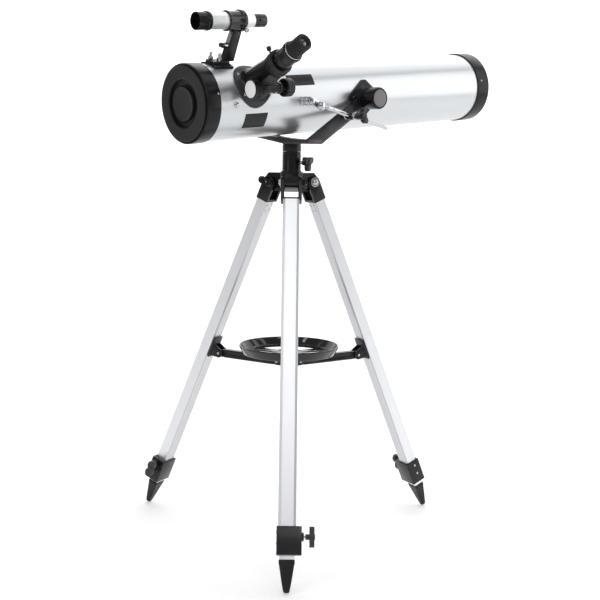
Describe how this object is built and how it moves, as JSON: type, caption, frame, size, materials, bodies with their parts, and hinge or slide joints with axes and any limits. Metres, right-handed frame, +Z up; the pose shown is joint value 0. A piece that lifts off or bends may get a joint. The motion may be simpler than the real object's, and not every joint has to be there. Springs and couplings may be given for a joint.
{
  "type": "telescope on tripod",
  "caption": "Newtonian reflector telescope with finder and side focuser, on an offset yoke mount with slow-motion rod and a folding aluminium tripod with accessory tray.",
  "frame": {"origin": "floor level, under the centre of the bounding box", "axes": "+Z up; +X along the optical tube's heading from its open end towards the mirror; the focuser side faces -Y"},
  "size_m": [0.6913, 0.5462, 0.9146],
  "materials": {
    "silver_paint": "metallic silver, semi-gloss",
    "black_plastic": "satin moulded",
    "black_metal": "satin paint",
    "gloss_black": "polished moulded",
    "chrome_steel": "plated, bright",
    "anodised_aluminium": "satin anodised extrusion",
    "mirror_glass": "aluminised, polished",
    "foot_rubber": "matte"
  },
  "bodies": {
    "tripod": {"tripod_head": "black_plastic", "leg_1_wing_bolt": "black_plastic", "leg_2_wing_bolt": "black_plastic", "leg_3_wing_bolt": "black_plastic"},
    "azimuth_lock": {"azimuth_lock_knob": "black_plastic"},
    "yoke": {"yoke_fork": "black_metal"},
    "optical_tube": {"main_tube": "silver_paint", "front_ring": "black_plastic", "rear_cell": "black_plastic", "primary_mirror": "mirror_glass", "mirror_support": "black_metal", "secondary_spider": "black_metal", "trunnion_plate_near": "black_plastic", "trunnion_plate_far": "black_plastic", "rod_post": "chrome_steel", "focuser_base": "black_plastic", "finder_bracket": "black_plastic", "finder_tube": "silver_paint", "finder_hood": "black_plastic", "finder_eyepiece": "black_plastic"},
    "altitude_lock_near": {"altitude_knob_near": "black_plastic"},
    "altitude_lock_far": {"altitude_knob_far": "black_plastic"},
    "rod_swivel_clamp": {"rod_clamp": "chrome_steel"},
    "rod": {"altitude_rod": "chrome_steel"},
    "rod_lock": {"rod_clamp_knob": "black_plastic"},
    "dust_cover": {"dust_cap": "black_plastic"},
    "aperture_cover": {"aperture_cap": "black_plastic"},
    "drawtube": {"focuser_drawtube": "black_plastic"},
    "pinion": {"focus_pinion": "chrome_steel", "focus_knob_front": "black_plastic", "focus_knob_rear": "black_plastic"},
    "adapter": {"eyepiece_adapter": "black_plastic"},
    "ocular": {"eyepiece": "black_plastic"},
    "ocular_lock": {"eyepiece_lock_screw": "chrome_steel"},
    "spreader": {"spreader_hub": "black_plastic", "accessory_tray": "gloss_black"},
    "leg_1": {"leg_1_bracket": "black_plastic", "leg_1_outer": "anodised_aluminium", "leg_1_clamp": "black_plastic", "leg_1_brace_bracket": "black_plastic"},
    "leg_1_extension": {"leg_1_inner": "anodised_aluminium", "leg_1_foot": "foot_rubber"},
    "leg_1_lock": {"leg_1_clamp_knob": "black_plastic"},
    "brace_1_arm": {"brace_1": "black_plastic"},
    "leg_2": {"leg_2_bracket": "black_plastic", "leg_2_outer": "anodised_aluminium", "leg_2_clamp": "black_plastic", "leg_2_brace_bracket": "black_plastic"},
    "leg_2_extension": {"leg_2_inner": "anodised_aluminium", "leg_2_foot": "foot_rubber"},
    "leg_2_lock": {"leg_2_clamp_knob": "black_plastic"},
    "brace_2_arm": {"brace_2": "black_plastic"},
    "leg_3": {"leg_3_bracket": "black_plastic", "leg_3_outer": "anodised_aluminium", "leg_3_clamp": "black_plastic", "leg_3_brace_bracket": "black_plastic"},
    "leg_3_extension": {"leg_3_inner": "anodised_aluminium", "leg_3_foot": "foot_rubber"},
    "leg_3_lock": {"leg_3_clamp_knob": "black_plastic"},
    "brace_3_arm": {"brace_3": "black_plastic"}
  },
  "joints": [
    {"name": "azimuth", "type": "hinge", "parent": "tripod", "child": "yoke", "pos_m": [-0.1072, -0.0256, 0.69], "axis": [0, 0, 1], "continuous": true},
    {"name": "azimuth_lock_turn", "type": "hinge", "parent": "tripod", "child": "azimuth_lock", "pos_m": [-0.09971, -0.04735, 0.667], "axis": [0.3256, -0.9455, 0], "range_deg": [-90, 90]},
    {"name": "altitude", "type": "hinge", "parent": "yoke", "child": "optical_tube", "pos_m": [0.00412, -0.0256, 0.7803], "axis": [0, 1, 0], "range_deg": [-1, 50]},
    {"name": "altitude_lock_near_turn", "type": "hinge", "parent": "yoke", "child": "altitude_lock_near", "pos_m": [0.00412, -0.0256, 0.7803], "axis": [0, -1, 0], "range_deg": [-90, 90]},
    {"name": "altitude_lock_far_turn", "type": "hinge", "parent": "yoke", "child": "altitude_lock_far", "pos_m": [0.00412, -0.0256, 0.7803], "axis": [0, 1, 0], "range_deg": [-90, 90]},
    {"name": "rod_swivel", "type": "hinge", "parent": "yoke", "child": "rod_swivel_clamp", "pos_m": [-0.05479, -0.1196, 0.74807], "axis": [0, 1, 0], "range_deg": [-2, 64]},
    {"name": "rod_slide", "type": "slide", "parent": "rod_swivel_clamp", "child": "rod", "axis": [-0.9761, 0, 0.2172], "range_m": [-0.0015, 0.0535]},
    {"name": "rod_lock_turn", "type": "hinge", "parent": "rod_swivel_clamp", "child": "rod_lock", "pos_m": [-0.05479, -0.1196, 0.74807], "axis": [0, -1, 0], "range_deg": [-90, 90]},
    {"name": "dust_cap_off", "type": "slide", "parent": "optical_tube", "child": "dust_cover", "axis": [-0.9965, 0, -0.0836], "range_m": [0, 0.06]},
    {"name": "aperture_cap_off", "type": "slide", "parent": "dust_cover", "child": "aperture_cover", "axis": [-0.9965, 0, -0.0836], "range_m": [0, 0.04]},
    {"name": "focus_turn", "type": "hinge", "parent": "optical_tube", "child": "pinion", "pos_m": [-0.23628, -0.11804, 0.78702], "axis": [0.9965, 0, 0.0836], "range_deg": [0, 264]},
    {"name": "focus_travel", "type": "slide", "parent": "optical_tube", "child": "drawtube", "axis": [-0.0353, -0.9063, 0.4211], "range_m": [0, 0.03]},
    {"name": "adapter_out", "type": "slide", "parent": "drawtube", "child": "adapter", "axis": [-0.0353, -0.9063, 0.4211], "range_m": [0, 0.04]},
    {"name": "eyepiece_out", "type": "slide", "parent": "adapter", "child": "ocular", "axis": [-0.0353, -0.9063, 0.4211], "range_m": [0, 0.05]},
    {"name": "eyepiece_lock_turn", "type": "hinge", "parent": "drawtube", "child": "ocular_lock", "pos_m": [-0.2528, -0.13946, 0.84283], "axis": [-0.4693, -0.0559, 0.8813], "range_deg": [-90, 90]},
    {"name": "spreader_rise", "type": "slide", "parent": "tripod", "child": "spreader", "axis": [0, 0, 1], "range_m": [0, 0.085]},
    {"name": "leg_1_fold", "type": "hinge", "parent": "tripod", "child": "leg_1", "pos_m": [-0.1315, -0.05442, 0.633], "axis": [0.7645, -0.6447, 0], "range_deg": [0, 5.25]},
    {"name": "leg_1_extend", "type": "slide", "parent": "leg_1", "child": "leg_1_extension", "axis": [-0.256, -0.3036, -0.9178], "range_m": [0, 0.32]},
    {"name": "leg_1_lock_turn", "type": "hinge", "parent": "leg_1", "child": "leg_1_lock", "pos_m": [-0.26294, -0.25566, 0.08168], "axis": [0.7645, -0.6447, 0], "range_deg": [-90, 90]},
    {"name": "brace_1_turn", "type": "hinge", "parent": "spreader", "child": "brace_1_arm", "pos_m": [-0.11977, -0.04051, 0.3115], "axis": [0.7645, -0.6447, 0], "range_deg": [0, 45.3]},
    {"name": "leg_2_fold", "type": "hinge", "parent": "tripod", "child": "leg_2", "pos_m": [-0.07009, -0.03224, 0.633], "axis": [0.1761, 0.9844, 0], "range_deg": [0, 5.25]},
    {"name": "leg_2_extend", "type": "slide", "parent": "leg_2", "child": "leg_2_extension", "axis": [0.3909, -0.0699, -0.9178], "range_m": [0, 0.32]},
    {"name": "leg_2_lock_turn", "type": "hinge", "parent": "leg_2", "child": "leg_2_lock", "pos_m": [0.16991, -0.04545, 0.08168], "axis": [0.1761, 0.9844, 0], "range_deg": [-90, 90]},
    {"name": "brace_2_turn", "type": "hinge", "parent": "spreader", "child": "brace_2_arm", "pos_m": [-0.088, -0.02903, 0.3115], "axis": [0.1761, 0.9844, 0], "range_deg": [0, 45.3]},
    {"name": "leg_3_fold", "type": "hinge", "parent": "tripod", "child": "leg_3", "pos_m": [-0.12001, 0.00986, 0.633], "axis": [-0.9405, -0.3397, 0], "range_deg": [0, 5.25]},
    {"name": "leg_3_extend", "type": "slide", "parent": "leg_3", "child": "leg_3_extension", "axis": [-0.1349, 0.3735, -0.9178], "range_m": [0, 0.32]},
    {"name": "leg_3_lock_turn", "type": "hinge", "parent": "leg_3", "child": "leg_3_lock", "pos_m": [-0.22857, 0.22431, 0.08168], "axis": [-0.9405, -0.3397, 0], "range_deg": [-90, 90]},
    {"name": "brace_3_turn", "type": "hinge", "parent": "spreader", "child": "brace_3_arm", "pos_m": [-0.11382, -0.00726, 0.3115], "axis": [-0.9405, -0.3397, 0], "range_deg": [0, 45.3]}
  ],
  "couplings": [
    {"joint": "rod_swivel", "follows": "altitude", "ratio": 1.255},
    {"joint": "rod_slide", "follows": "altitude", "m_per_rad": 0.0595},
    {"joint": "focus_travel", "follows": "focus_turn", "m_per_rad": 0.0065},
    {"joint": "spreader_rise", "follows": "leg_1_fold", "m_per_rad": 0.92},
    {"joint": "brace_1_turn", "follows": "leg_1_fold", "ratio": 8.6},
    {"joint": "brace_2_turn", "follows": "leg_1_fold", "ratio": 8.6},
    {"joint": "leg_2_fold", "follows": "leg_1_fold", "ratio": 1},
    {"joint": "brace_3_turn", "follows": "leg_1_fold", "ratio": 8.6},
    {"joint": "leg_3_fold", "follows": "leg_1_fold", "ratio": 1}
  ]
}
